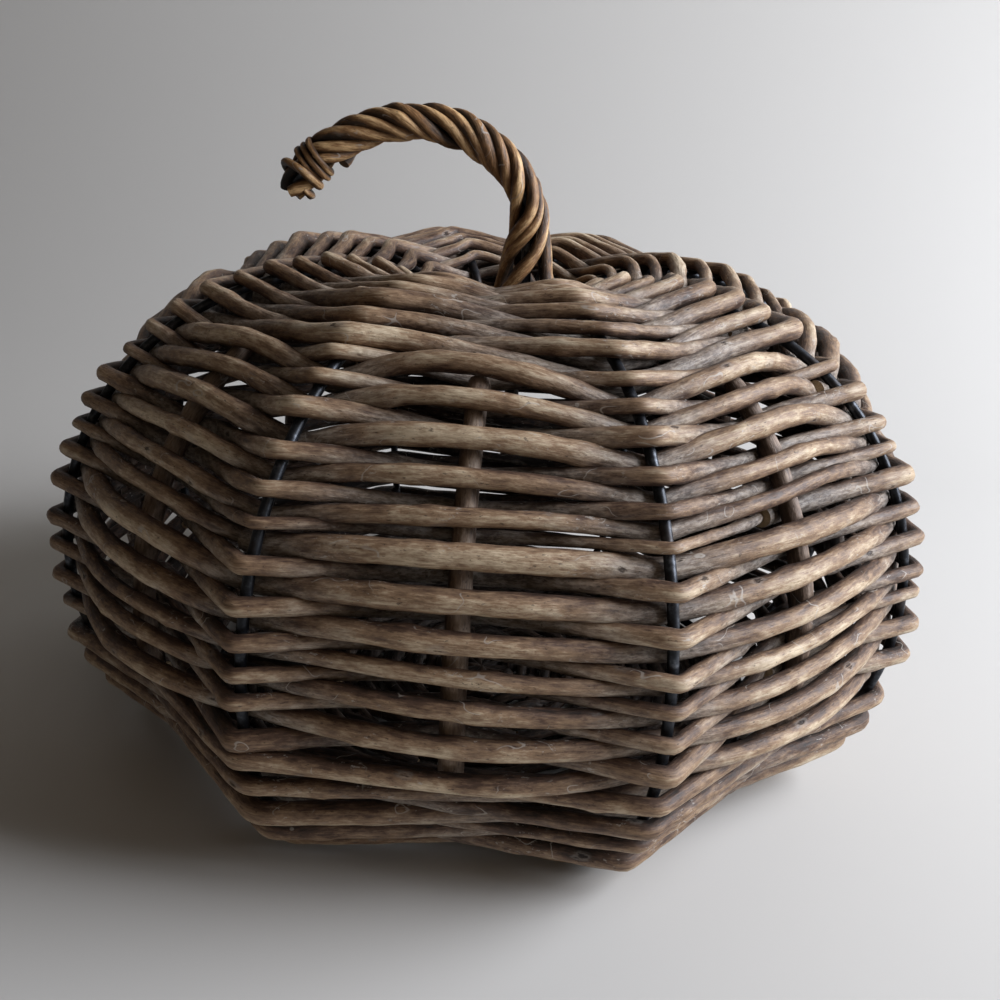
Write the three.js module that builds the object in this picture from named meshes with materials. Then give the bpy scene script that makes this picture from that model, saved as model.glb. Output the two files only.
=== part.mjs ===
// Woven willow pumpkin on a skeleton of steel ribs, with a curled and twisted stem.
//
// Millimetres, +Z up, front towards -Y. The origin is the middle of the underside, where it stands.
// Eight steel ribs stand at the corners of an eight-sided section, and a willow stake stands between
// each two of them. The weave is chased: two runs of willow rods climb together like a double thread,
// each in front of one upright and behind the next, and on opposite sides, which locks the weave.
// Every rod tapers from butt to tip, and the next one starts where it ends, behind an upright.
import * as THREE from 'three';

// Skeleton
const RIB_COUNT = 8;
const RIB_DIAMETER = 4;
const BELLY_RADIUS = 181;
const BELLY_HEIGHT = 85;
const CREST_RADIUS = 67;
const CREST_HEIGHT = 197;
const FOOT_RADIUS = 126;
const FOOT_HEIGHT = 7;
const DIP_RADIUS = 31;
const DIP_DEPTH = 20;
const LOWER_FULLNESS = 2;
const UPPER_FULLNESS = 2.1;
const RING_PLATE_THICKNESS = 4;
const RING_PLATE_RIM = 5;
const CROSS_BAR_WIDTH = 7;

// Willow
const WEAVER_COUNT = 33;
const WEAVER_BUTT = 6;
const WEAVER_TIP = 5.3;
const ROW_PITCH = 6.1;
const DIP_ROW_PITCH = 4.85;
const ROWS_UNDER_STAKES = 10;
const ROWS_OVER_STAKES = 10;
const LAST_ROW_RISE = 3.5;
const STAKE_BUTT = 9;
const STAKE_TIP = 7;
const STAKE_OVERHANG = 1.8;
const GRIP_LENGTH = 14;
const BASE_THICKNESS = 12;
const BASE_EDGE_ROUND = 3;

// Stem
const STEM_OFFSET = 9.2;
const STEM_STRAIGHT_HEIGHT = 218;
const STEM_REACH = 92.5;
const STEM_TIP_HEIGHT = 223;
const STEM_RISE_PULL = 34;
const STEM_TIP_PULL = 68;
const STEM_TIP_SLOPE = 55;
const STRAND_COUNT = 6;
const STRAND_DIAMETER = 4.3;
const STRAND_GAP = 0.7;
const STRAND_LAY = 55;
const ROOT_SPREAD = 7;
const ROOT_SPREAD_LENGTH = 40;
const CORE_SHORT_OF_TIP = 6;
const BINDING_DIAMETER = 2.6;
const BINDING_TURNS = 2;
const BINDING_TURN_GAP = 0.9;
const BINDING_FROM_TIP = 18;

// Seats
const CLEARANCE = 0.3;
const BINDING_CLEARANCE = 0.35;
const ROD_END_GAP = 0.6;

// Facets
const ROD_SIDES = 6;
const RIB_STEP = 15;
const HOOP_STEPS = 32;
const STRAND_STEPS = 30;
const BINDING_STEPS_PER_TURN = 12;
const PROFILE_SAMPLES = 240;
const ROW_SEARCH_STEP = 0.25;
const SLOPE_STEP = 0.5;

const PANEL_ANGLE = (2 * Math.PI) / RIB_COUNT;

const willowMaterial = new THREE.MeshStandardMaterial({ color: 0x6b5240, roughness: 0.75, metalness: 0 });
const stakeMaterial = new THREE.MeshStandardMaterial({ color: 0x5a4436, roughness: 0.8, metalness: 0 });
const stemMaterial = new THREE.MeshStandardMaterial({ color: 0x7c5c40, roughness: 0.65, metalness: 0 });
const steelMaterial = new THREE.MeshStandardMaterial({ color: 0x2b3038, roughness: 0.45, metalness: 0.9 });

// The outline of a rib's centreline, from the foot round the belly, over the crest and into the dip.
// Each of its three stretches is a quarter of a rounded oval, and its corners lie evenly along it.
// Everything that touches an upright is placed on these same facets.
function makeRibOutline() {
  const quarter = (from, to, pointAt) => {
    const points = [];
    for (let i = 0; i <= PROFILE_SAMPLES; i++) {
      points.push(pointAt(THREE.MathUtils.lerp(from, to, i / PROFILE_SAMPLES)));
    }
    return points;
  };
  const power = (value, fullness) => Math.pow(value, 2 / fullness);
  const lower = quarter(Math.PI / 2, 0, (angle) => new THREE.Vector2(
    FOOT_RADIUS + (BELLY_RADIUS - FOOT_RADIUS) * power(Math.cos(angle), LOWER_FULLNESS),
    BELLY_HEIGHT - (BELLY_HEIGHT - FOOT_HEIGHT) * power(Math.sin(angle), LOWER_FULLNESS),
  ));
  const upper = quarter(0, Math.PI / 2, (angle) => new THREE.Vector2(
    CREST_RADIUS + (BELLY_RADIUS - CREST_RADIUS) * power(Math.cos(angle), UPPER_FULLNESS),
    BELLY_HEIGHT + (CREST_HEIGHT - BELLY_HEIGHT) * power(Math.sin(angle), UPPER_FULLNESS),
  ));
  const dip = quarter(0, Math.PI / 2, (angle) => new THREE.Vector2(
    CREST_RADIUS - (CREST_RADIUS - DIP_RADIUS) * Math.sin(angle),
    CREST_HEIGHT - DIP_DEPTH * (1 - Math.cos(angle)),
  ));
  const corners = [lower[0]];
  let crest = 0;
  for (const stretch of [lower, upper, dip]) {
    const fine = measureAlong(stretch);
    const steps = Math.round(fine.length / RIB_STEP);
    for (let i = 1; i <= steps; i++) corners.push(fine.pointAt((fine.length * i) / steps));
    if (stretch === upper) crest = corners.length - 1;
  }
  const outline = measureAlong(corners);
  return { ...outline, crestLength: outline.lengths[crest] };
}

// Lookups by length along a chain of straight stretches.
function measureAlong(points) {
  const lengths = [0];
  for (let i = 1; i < points.length; i++) {
    lengths.push(lengths[i - 1] + points[i].distanceTo(points[i - 1]));
  }
  const pointAt = (length) => {
    const wanted = THREE.MathUtils.clamp(length, 0, lengths.at(-1));
    let i = 1;
    while (i < lengths.length - 1 && lengths[i] < wanted) i++;
    const share = (wanted - lengths[i - 1]) / (lengths[i] - lengths[i - 1]);
    return points[i - 1].clone().lerp(points[i], share);
  };
  return { pointAt, lengths, length: lengths.at(-1) };
}

const ribOutline = makeRibOutline();

// A point on an upright's centreline: squeeze is 1 on a rib and the flat panel's share on a stake.
function uprightPoint(length, angle, squeeze) {
  const point = ribOutline.pointAt(length);
  return new THREE.Vector3(
    point.x * squeeze * Math.sin(angle),
    -point.x * squeeze * Math.cos(angle),
    point.y,
  );
}

// The direction that points out of the weave, square to the upright and in its own vertical plane.
function outwardAt(length, angle, squeeze) {
  const before = ribOutline.pointAt(length - SLOPE_STEP);
  const after = ribOutline.pointAt(length + SLOPE_STEP);
  const run = new THREE.Vector2((after.x - before.x) * squeeze, after.y - before.y).normalize();
  return new THREE.Vector3(run.y * Math.sin(angle), -run.y * Math.cos(angle), -run.x);
}

// One closed rod through a list of stations, with flat ends. Each station has a point, a diameter and
// a hint, along which the section's first corner points, so rods touch an upright on a corner line.
// A section lies halfway round its bend, or square to the station's facing where it has one.
function makeRod(stations) {
  const sides = ROD_SIDES;
  const last = stations.length - 1;
  const directions = [];
  for (let i = 0; i < last; i++) {
    directions.push(stations[i + 1].point.clone().sub(stations[i].point).normalize());
  }
  const positions = [];
  stations.forEach(({ point, diameter, hint, facing }, i) => {
    const halfway = directions[Math.max(i - 1, 0)].clone().add(directions[Math.min(i, last - 1)]);
    const along = (facing ?? halfway).clone().normalize();
    const first = hint.clone().addScaledVector(along, -hint.dot(along)).normalize();
    const second = along.clone().cross(first);
    for (let side = 0; side < sides; side++) {
      const turn = (2 * Math.PI * side) / sides;
      const spoke = first.clone().multiplyScalar(Math.cos(turn)).addScaledVector(second, Math.sin(turn));
      positions.push(...spoke.multiplyScalar(diameter / 2).add(point).toArray());
    }
  });
  const faces = [];
  for (let i = 0; i < last; i++) {
    for (let side = 0; side < sides; side++) {
      const a = i * sides + side;
      const b = i * sides + ((side + 1) % sides);
      faces.push(a, b, b + sides, a, b + sides, a + sides);
    }
  }
  const end = last * sides;
  for (let side = 1; side < sides - 1; side++) {
    faces.push(0, side + 1, side, end, end + side, end + side + 1);
  }
  const geometry = new THREE.BufferGeometry();
  geometry.setAttribute('position', new THREE.Float32BufferAttribute(positions, 3));
  geometry.setIndex(faces);
  geometry.computeVertexNormals();
  return geometry;
}

function makeMesh(name, geometry, material) {
  const mesh = new THREE.Mesh(geometry, material);
  mesh.name = name;
  return mesh;
}

const ribAngle = (index) => (index + 0.5) * PANEL_ANGLE;
const stakeAngle = (index) => index * PANEL_ANGLE;
const stakeSqueeze = Math.cos(PANEL_ANGLE / 2);

// The rows of the body lie evenly along the rib, from the first that clears the base hoop to half a
// pitch before the crest. Those of the dip start half a pitch past the crest and end at the last that
// clears the top ring. As many rows are laid as fit at the smallest pitch at which rods clear.
const hoopRadius = FOOT_RADIUS - CLEARANCE - RIB_DIAMETER / 2;
const ringTopHeight = CREST_HEIGHT - DIP_DEPTH + RING_PLATE_THICKNESS;
const firstRowStart = findLength(0, ROW_SEARCH_STEP, (point) => (
  point.x * stakeSqueeze < hoopRadius + RIB_DIAMETER / 2 + CLEARANCE + WEAVER_BUTT / 2
));
const lastRowStart = findLength(ribOutline.length, -ROW_SEARCH_STEP, (point) => (
  point.y < ringTopHeight + WEAVER_BUTT / 2 + LAST_ROW_RISE
));
const bodySpan = ribOutline.crestLength - firstRowStart;
const dipSpan = lastRowStart - ribOutline.crestLength;
const bodyRows = Math.floor(bodySpan / ROW_PITCH + 0.5);
const dipRows = Math.floor(dipSpan / DIP_ROW_PITCH + 0.5);
const bodyPitch = bodySpan / (bodyRows - 0.5);
const dipPitch = dipSpan / (dipRows - 0.5);

// The first length along the rib, from a start and step by step, where a condition no longer holds.
function findLength(start, step, isTooFar) {
  let length = start;
  while (isTooFar(ribOutline.pointAt(length))) length += step;
  return length;
}

// A row's place may be a fraction, because the runs climb as they go round.
function rowStart(row) {
  if (row < bodyRows - 0.5) return firstRowStart + row * bodyPitch;
  return ribOutline.crestLength + (row - bodyRows + 0.5) * dipPitch;
}

// Rods get thinner towards their tips, and where the rows lie closer.
function weaverDiameter(row, share) {
  const pitch = rowStart(row + 0.5) - rowStart(row - 0.5);
  return (THREE.MathUtils.lerp(WEAVER_BUTT, WEAVER_TIP, share) * pitch) / bodyPitch;
}

function makeSteelRib(index) {
  return makeRod(ribOutline.lengths.map((length) => ({
    point: uprightPoint(length, ribAngle(index), 1),
    hint: outwardAt(length, ribAngle(index), 1),
    diameter: RIB_DIAMETER,
  })));
}

// Stakes stand only in the belly. A stake reaches just past the first and the last turn of the weave
// that meets it, and those lie a little higher from each stake to the next, as the runs climb.
const firstStakeRow = ROWS_UNDER_STAKES;
const lastStakeRow = bodyRows - 1 - ROWS_OVER_STAKES;
const stakeDiameterAt = (length) => THREE.MathUtils.mapLinear(
  length, rowStart(firstStakeRow), rowStart(lastStakeRow), STAKE_BUTT, STAKE_TIP,
);

function makeWillowStake(index) {
  const climbed = ((2 * index) % RIB_COUNT) / RIB_COUNT;
  const from = rowStart(firstStakeRow + climbed) - STAKE_OVERHANG;
  const to = rowStart(lastStakeRow + climbed - Math.ceil(climbed)) + STAKE_OVERHANG;
  const corners = ribOutline.lengths.filter((length) => length > from && length < to);
  return makeRod([from, ...corners, to].map((length) => ({
    point: uprightPoint(length, stakeAngle(index), stakeSqueeze),
    hint: outwardAt(length, stakeAngle(index), stakeSqueeze),
    diameter: stakeDiameterAt(length),
  })));
}

// Every upright that one run of the weave passes, in order from the base to the dip. The run rises
// two rows in a round, the other run starts half a round later, and so each lies midway between the
// turns of the other. Among the stakes one run goes over every rib and the other over every stake.
// Where only ribs stand, each run goes over every other rib.
function listCrossings(overRibs) {
  const start = overRibs ? RIB_COUNT : 2 * RIB_COUNT;
  const crossings = [];
  for (let place = start; place - start <= (bodyRows + dipRows - 1) * RIB_COUNT; place++) {
    const row = (place - start) / RIB_COUNT;
    const index = Math.floor(place / 2);
    const amongStakes = row >= firstStakeRow && row <= lastStakeRow;
    if (place % 2 === 1) {
      const outside = amongStakes ? overRibs : (index % 2 === 0) === overRibs;
      crossings.push({ row, index, outside, atStake: false });
    } else if (amongStakes) {
      crossings.push({ row, index, outside: !overRibs, atStake: true });
    }
  }
  while (crossings[0].outside) crossings.shift();
  while (crossings.at(-1).outside) crossings.pop();
  return crossings;
}

// Where a rod passes one upright, on its outer or its inner side, and how far past it.
function makeStation({ row, index, outside, atStake }, share, past) {
  const angle = atStake ? stakeAngle(index) : ribAngle(index);
  const squeeze = atStake ? stakeSqueeze : 1;
  const length = rowStart(row);
  const upright = atStake ? stakeDiameterAt(length) : RIB_DIAMETER;
  const diameter = weaverDiameter(row, share);
  const hint = outwardAt(length, angle, squeeze);
  const away = upright / 2 + CLEARANCE + diameter / 2;
  const sideways = new THREE.Vector3(Math.cos(angle), Math.sin(angle), 0);
  const point = uprightPoint(length, angle, squeeze)
    .addScaledVector(hint, outside ? away : -away)
    .addScaledVector(sideways, past);
  return { point, hint, sideways, diameter };
}

// One rod, from one hidden crossing to another. It bends sharply over each rib and lies flat for a
// short grip along each stake. Its ends stop a little short of the middle of the upright that hides
// them, so that it clears the rods before and after it.
function makeWeaver(crossings) {
  const last = crossings.length - 1;
  const grip = GRIP_LENGTH / 2;
  const stations = [];
  crossings.forEach((crossing, i) => {
    const share = i / last;
    if (i === 0) stations.push(makeStation(crossing, share, ROD_END_GAP / 2));
    if (i > 0 && crossing.atStake) stations.push(makeStation(crossing, share, -grip));
    if (i > 0 && i < last && !crossing.atStake) stations.push(makeStation(crossing, share, 0));
    if (i < last && crossing.atStake) stations.push(makeStation(crossing, share, grip));
    if (i === last) stations.push(makeStation(crossing, share, -ROD_END_GAP / 2));
  });
  stations[0].facing = stations[0].sideways;
  stations.at(-1).facing = stations.at(-1).sideways;
  return makeRod(stations);
}

// Cuts a run into rods that get shorter where the rounds are smaller, but not as fast as the rounds,
// because a round counts by the square root of its radius. Each cut is moved to the nearest hidden
// crossing.
function cutRun(crossings, count) {
  const counted = [0];
  for (let i = 1; i < crossings.length; i++) {
    const radius = ribOutline.pointAt(rowStart(crossings[i].row)).x;
    const climbed = crossings[i].row - crossings[i - 1].row;
    counted.push(counted[i - 1] + climbed * Math.sqrt(radius));
  }
  const hidden = crossings.map((crossing, i) => i).filter((i) => !crossings[i].outside);
  const cuts = [];
  for (let i = 0; i <= count; i++) {
    const wanted = (counted.at(-1) * i) / count;
    cuts.push(hidden.reduce((best, at) => (
      Math.abs(counted[at] - wanted) < Math.abs(counted[best] - wanted) ? at : best
    )));
  }
  return cuts.slice(1).map((cut, i) => crossings.slice(cuts[i], cut + 1));
}

// A steel ring of round rod, closed on itself.
function makeHoop(radius, height, diameter) {
  const section = [];
  for (let side = 0; side <= ROD_SIDES; side++) {
    const turn = (2 * Math.PI * side) / ROD_SIDES;
    section.push(new THREE.Vector2(
      radius + (Math.cos(turn) * diameter) / 2,
      (Math.sin(turn) * diameter) / 2,
    ));
  }
  return new THREE.LatheGeometry(section, HOOP_STEPS).rotateX(Math.PI / 2).translate(0, 0, height);
}

// The woven base as a round slab with a rounded rim, flat underneath where it stands.
function makeWovenBase(radius) {
  const outline = [
    new THREE.Vector2(0, 0),
    new THREE.Vector2(radius - BASE_EDGE_ROUND, 0),
    new THREE.Vector2(radius, BASE_EDGE_ROUND),
    new THREE.Vector2(radius, BASE_THICKNESS - BASE_EDGE_ROUND),
    new THREE.Vector2(radius - BASE_EDGE_ROUND, BASE_THICKNESS),
    new THREE.Vector2(0, BASE_THICKNESS),
  ];
  return new THREE.LatheGeometry(outline, HOOP_STEPS).rotateX(Math.PI / 2);
}

// The flat ring under the dip, with a bar across it that carries the stem.
function makeTopRing() {
  const outer = DIP_RADIUS - RIB_DIAMETER / 2 - CLEARANCE;
  const inner = outer - RING_PLATE_RIM;
  const shape = new THREE.Shape().absarc(0, 0, outer, 0, 2 * Math.PI);
  const halfBar = CROSS_BAR_WIDTH / 2;
  const cornerAngle = Math.asin(halfBar / inner);
  for (const start of [cornerAngle, Math.PI + cornerAngle]) {
    shape.holes.push(new THREE.Path().absarc(0, 0, inner, start, start + Math.PI - 2 * cornerAngle));
  }
  return new THREE.ExtrudeGeometry(shape, {
    depth: RING_PLATE_THICKNESS,
    bevelEnabled: false,
    curveSegments: HOOP_STEPS / 2,
  }).translate(0, 0, ringTopHeight - RING_PLATE_THICKNESS);
}

// The stem's centreline: straight up from the cross bar, then one curl over to the tip.
function makeStemCurve() {
  const foot = new THREE.Vector3(STEM_OFFSET, 0, ringTopHeight + CLEARANCE);
  const bendStart = new THREE.Vector3(STEM_OFFSET, 0, STEM_STRAIGHT_HEIGHT);
  const tip = new THREE.Vector3(-STEM_REACH, 0, STEM_TIP_HEIGHT);
  const slope = THREE.MathUtils.degToRad(STEM_TIP_SLOPE);
  const rise = new THREE.Vector3(0, 0, STEM_RISE_PULL);
  const pull = new THREE.Vector3(Math.cos(slope), 0, Math.sin(slope)).multiplyScalar(STEM_TIP_PULL);
  const path = new THREE.CurvePath();
  path.add(new THREE.LineCurve3(foot, bendStart));
  path.add(new THREE.CubicBezierCurve3(bendStart, bendStart.clone().add(rise), tip.clone().add(pull), tip));
  return path;
}

const stemCurve = makeStemCurve();
const stemLength = stemCurve.getLength();

// A rod that runs beside the stem's centreline, at a distance from it and turned about it.
function rodAlongStem(from, to, steps, radiusAt, turnAt, diameter) {
  const stations = [];
  for (let i = 0; i <= steps; i++) {
    const length = THREE.MathUtils.lerp(from, to, i / steps);
    const share = THREE.MathUtils.clamp(length / stemLength, 0, 1);
    const along = stemCurve.getTangentAt(share);
    const across = new THREE.Vector3(0, 1, 0);
    const out = along.clone().cross(across).multiplyScalar(Math.cos(turnAt(length)));
    out.addScaledVector(across, Math.sin(turnAt(length)));
    const point = stemCurve.getPointAt(share).addScaledVector(out, radiusAt(length));
    const facing = i === 0 || i === steps ? along : undefined;
    stations.push({ point, hint: out, diameter, facing });
  }
  return makeRod(stations);
}

// A strand winds round the core on a circle where its neighbours just clear it, and spreads at the
// root where it goes down into the dip.
const strandCircleRadius = (STRAND_DIAMETER + STRAND_GAP) / (2 * Math.sin(Math.PI / STRAND_COUNT));

function makeStemStrand(index) {
  const radiusAt = (length) => {
    const rooted = Math.max(0, 1 - length / ROOT_SPREAD_LENGTH);
    return strandCircleRadius + ROOT_SPREAD * rooted * rooted;
  };
  const turnAt = (length) => -2 * Math.PI * (length / STRAND_LAY + index / STRAND_COUNT);
  return rodAlongStem(0, stemLength, STRAND_STEPS, radiusAt, turnAt, STRAND_DIAMETER);
}

// The core fills the hollow between the strands, whose facets run closer to it than their corners.
function makeStemCore() {
  const halfStepTurn = (Math.PI * stemLength) / (STRAND_LAY * STRAND_STEPS);
  const hollow = 2 * strandCircleRadius * Math.cos(halfStepTurn) - STRAND_DIAMETER;
  const diameter = hollow - 2 * CLEARANCE;
  return rodAlongStem(0, stemLength - CORE_SHORT_OF_TIP, STRAND_STEPS / 2, () => 0, () => 0, diameter);
}

function makeTipBinding() {
  const radius = strandCircleRadius + STRAND_DIAMETER / 2 + BINDING_CLEARANCE + BINDING_DIAMETER / 2;
  const width = BINDING_TURNS * (BINDING_DIAMETER + BINDING_TURN_GAP);
  const start = stemLength - BINDING_FROM_TIP;
  const turnAt = (length) => (2 * Math.PI * BINDING_TURNS * (length - start)) / width;
  const steps = BINDING_TURNS * BINDING_STEPS_PER_TURN;
  return rodAlongStem(start, start + width, steps, () => radius, turnAt, BINDING_DIAMETER);
}

function build() {
  const pumpkin = new THREE.Group();
  pumpkin.name = 'pumpkin_basket';
  for (let i = 0; i < RIB_COUNT; i++) {
    pumpkin.add(makeMesh(`steel_rib_${i + 1}`, makeSteelRib(i), steelMaterial));
    pumpkin.add(makeMesh(`willow_stake_${i + 1}`, makeWillowStake(i), stakeMaterial));
  }
  const overRibs = cutRun(listCrossings(true), Math.ceil(WEAVER_COUNT / 2));
  const overStakes = cutRun(listCrossings(false), Math.floor(WEAVER_COUNT / 2));
  for (let i = 0; i < WEAVER_COUNT; i++) {
    const name = `weaver_row_${String(i + 1).padStart(2, '0')}`;
    const crossings = (i % 2 === 0 ? overRibs : overStakes)[Math.floor(i / 2)];
    pumpkin.add(makeMesh(name, makeWeaver(crossings), willowMaterial));
  }
  pumpkin.add(makeMesh('base_hoop', makeHoop(hoopRadius, FOOT_HEIGHT, RIB_DIAMETER), steelMaterial));
  const baseRadius = hoopRadius - RIB_DIAMETER / 2 - CLEARANCE;
  pumpkin.add(makeMesh('woven_base', makeWovenBase(baseRadius), willowMaterial));
  pumpkin.add(makeMesh('top_ring', makeTopRing(), steelMaterial));
  pumpkin.add(makeMesh('stem_core', makeStemCore(), steelMaterial));
  for (let i = 0; i < STRAND_COUNT; i++) {
    pumpkin.add(makeMesh(`stem_strand_${i + 1}`, makeStemStrand(i), stemMaterial));
  }
  pumpkin.add(makeMesh('stem_tip_binding', makeTipBinding(), stemMaterial));
  return pumpkin;
}

export default build();
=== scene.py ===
# %% [markdown]
# # A pumpkin woven from willow over steel ribs
#
# The real object is hollow and closed. Eight steel ribs give it its shape, a willow stake stands
# between each two ribs, and tapering willow rods are woven round them: in front of one upright and
# behind the next, with the sides swapped in the next row. A stem of twisted rods curls over on top.
# Each rod here is a surface that numpy works out, a ring of points carried along a path, because a
# weave is nothing but long rods whose paths follow a few rules.

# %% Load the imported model
import math
from functools import partial

import bpy
import numpy as np
from mathutils import Matrix


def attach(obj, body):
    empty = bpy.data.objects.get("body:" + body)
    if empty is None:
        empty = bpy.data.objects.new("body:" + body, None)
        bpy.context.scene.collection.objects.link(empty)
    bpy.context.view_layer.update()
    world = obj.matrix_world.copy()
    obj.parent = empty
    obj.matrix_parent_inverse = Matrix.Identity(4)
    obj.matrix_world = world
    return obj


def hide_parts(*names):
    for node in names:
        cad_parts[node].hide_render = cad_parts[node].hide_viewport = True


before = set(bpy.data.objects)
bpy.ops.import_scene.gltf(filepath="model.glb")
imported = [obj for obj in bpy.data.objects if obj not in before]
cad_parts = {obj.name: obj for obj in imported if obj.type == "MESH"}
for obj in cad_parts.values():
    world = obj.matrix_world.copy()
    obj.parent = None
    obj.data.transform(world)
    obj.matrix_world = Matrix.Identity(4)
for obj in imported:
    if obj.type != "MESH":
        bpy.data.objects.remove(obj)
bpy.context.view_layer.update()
MM = 0.001
SEED = 20

# %% [markdown]
# ## The outline of a rib
#
# Everything on the pumpkin is placed along its ribs, so their outline comes first. A smith bends a
# rib over a few round forms. A drawn spline could follow it, but three quarter ovals, end to end,
# give the same line from sizes that can be measured: from the foot to the belly, from the belly
# over the shoulder to the crest, and from the crest down into the dip. The pumpkin's sizes are in
# millimetres, and each mesh is turned to metres as its last step.

# %% Outline of a rib
RIB_COUNT = 8
PANEL = 2 * math.pi / RIB_COUNT
FOOT_RADIUS, FOOT_HEIGHT = 126.0, 7.0
BELLY_RADIUS, BELLY_HEIGHT = 181.0, 85.0
CREST_RADIUS, CREST_HEIGHT = 67.0, 197.0
DIP_RADIUS, DIP_DEPTH = 31.0, 20.0
OVAL, FULLER_OVAL = 2.0, 2.1
QUARTER_POINTS = 300


def quarter_oval(radius, reach, height, rise, fullness, turn):
    """radius + reach * cos(turn)^(2 / fullness) beside height + rise * sin(turn)^(2 / fullness)."""
    power = 2 / fullness
    across = radius + reach * np.cos(turn).clip(0) ** power
    return np.column_stack([across, height + rise * np.sin(turn).clip(0) ** power])


opening = np.linspace(0, math.pi / 2, QUARTER_POINTS)
closing = opening[::-1]
outline = np.concatenate([
    quarter_oval(FOOT_RADIUS, BELLY_RADIUS - FOOT_RADIUS,
                 BELLY_HEIGHT, FOOT_HEIGHT - BELLY_HEIGHT, OVAL, closing),
    quarter_oval(CREST_RADIUS, BELLY_RADIUS - CREST_RADIUS,
                 BELLY_HEIGHT, CREST_HEIGHT - BELLY_HEIGHT, FULLER_OVAL, opening)[1:],
    quarter_oval(CREST_RADIUS, DIP_RADIUS - CREST_RADIUS,
                 CREST_HEIGHT - DIP_DEPTH, DIP_DEPTH, OVAL, closing)[1:],
])


def travelled(points):
    """The running sum of the distances from each point to the next."""
    return np.concatenate([[0], np.cumsum(np.linalg.norm(np.diff(points, axis=0), axis=1))])


outline_at = travelled(outline)
slope = np.gradient(outline, outline_at, axis=0)
slope /= np.linalg.norm(slope, axis=1, keepdims=True)
print("a rib is", round(outline_at[-1]), "mm long")

# %% [markdown]
# ## The eight-sided shell
#
# Between two ribs the rods run nearly straight, so the pumpkin is eight-sided in plan. Each rod
# could be given points of its own in space, but then a change of one size would pull the pieces
# apart. So one function gives any point of the shell from the length up a rib and the azimuth,
# lifted outwards or inwards, and all the uprights and all the rows are lines on this one surface.

# %% A point on the shell
def shell(length, azimuth, lift):
    """The point on the flat-sided shell, and the direction straight out of it.

    radius = the rib's radius * cos(half a panel) / cos(angle to the panel's middle)
    """
    off = azimuth - PANEL * np.round(azimuth / PANEL)
    flat = math.cos(PANEL / 2) / np.cos(off)
    radius = np.interp(length, outline_at, outline[:, 0]) * flat
    height = np.interp(length, outline_at, outline[:, 1])
    out_across = np.interp(length, outline_at, slope[:, 1])
    out_up = -np.interp(length, outline_at, slope[:, 0])
    east, north = np.sin(azimuth), -np.cos(azimuth)
    outward = np.stack([out_across * east, out_across * north, out_up + 0 * azimuth], -1)
    point = np.stack([radius * east, radius * north, height + 0 * azimuth], -1)
    return point + np.asarray(lift)[..., None] * outward, outward


belly_point, _ = shell(outline_at[[QUARTER_POINTS - 1]], np.array([PANEL / 2]), 0.0)
print("the first rib is widest at", belly_point.round(1))

# %% [markdown]
# ## Paths with even steps and soft bends
#
# A willow rod bends sharply over a thin rib, but never to a point. A spline through a few points
# would be soft everywhere. So a path is first drawn with true corners, then sampled at even steps,
# then each point is replaced by a weighted mean of its neighbours. A bell curve as the weight
# rounds the corners and leaves the straight runs alone.

# %% Even steps and soft bends
def even_steps(step, points, *others):
    """Resamples the points, and what belongs to them, at even distances along the path."""
    at = travelled(points)
    wanted = np.linspace(0, at[-1], max(int(at[-1] / step), 3) + 1)

    def sample(values):
        columns = values.reshape(len(values), -1).T
        sampled = np.stack([np.interp(wanted, at, column) for column in columns], -1)
        return sampled.reshape(-1, *values.shape[1:])

    return [sample(values) for values in (points, *others)]


def soften(points, reach):
    """Each point becomes the mean of its neighbours under a bell curve, reach samples wide."""
    near = np.arange(-3 * reach, 3 * reach + 1)
    bell = np.exp(-0.5 * (near / reach) ** 2)
    padded = np.pad(points, ((3 * reach, 3 * reach), (0, 0)), mode="reflect", reflect_type="odd")
    return np.stack([np.convolve(c, bell / bell.sum(), mode="valid") for c in padded.T], -1)


print("a rib in even steps of 10 mm has", len(even_steps(10.0, outline)[0]), "points")

# %% [markdown]
# ## Lumps and buds of a willow rod
#
# An unpeeled rod is round, a little lumpy, and swells where a bud sat. A curve with a round bevel
# gives a tube at once, but a plain one. Here the tube's radius is a function of the way along it
# and the turn round it, so slow waves and a bump for each bud are simply added up.

# %% Lumps and buds
SIDES = 14
WAVES = ((0, 90), (0, 33), (1, 60), (2, 45), (2, 21), (3, 16))  # lobes round, mm along
BUD_HEIGHT, BUD_LENGTH, BUD_WIDTH = 0.55, 3.2, 2.0
JOINT_HEIGHT, JOINT_LENGTH = 0.3, 5.0
CUT_SHARE = 0.9
ANY_TURN = 6.3
RING_TURN = 2 * math.pi * np.arange(SIDES)[None] / SIDES


def unit(vectors):
    """Each vector divided by its own length."""
    return vectors / np.linalg.norm(vectors, axis=-1, keepdims=True)


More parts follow.
